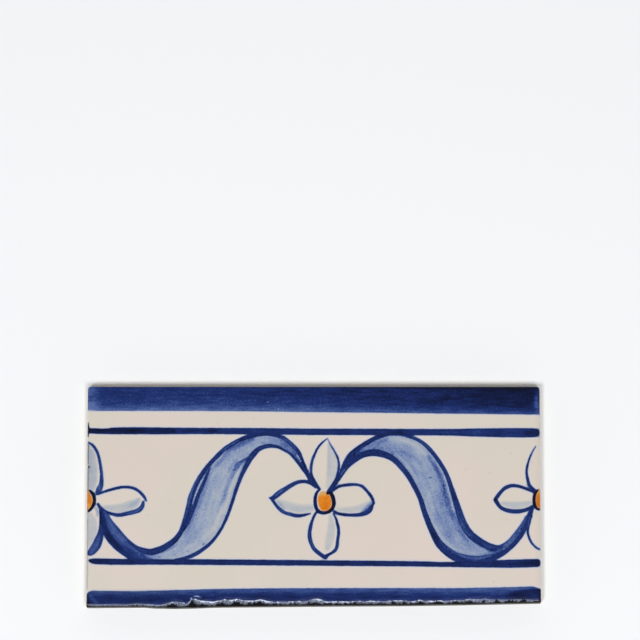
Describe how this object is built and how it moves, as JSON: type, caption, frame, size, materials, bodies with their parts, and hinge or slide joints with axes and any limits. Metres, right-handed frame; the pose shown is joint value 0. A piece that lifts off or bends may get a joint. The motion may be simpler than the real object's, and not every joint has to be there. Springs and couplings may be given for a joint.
{
  "type": "border tile",
  "caption": "Oblong glazed earthenware border tile, hand-painted in blue on cream, with a keyed back for bedding and one sawn, chipped long edge.",
  "frame": {"origin": "middle of the footprint, on the plane of the back", "axes": "+X along the border, +Y across it towards the pressed long edge, +Z out of the decorated face"},
  "size_m": [0.152, 0.0744, 0.008],
  "materials": {
    "glazed_earthenware": "glossy cream glaze painted in blue, pale biscuit body"
  },
  "bodies": {
    "root": {"border_tile": "glazed_earthenware"}
  },
  "joints": []
}
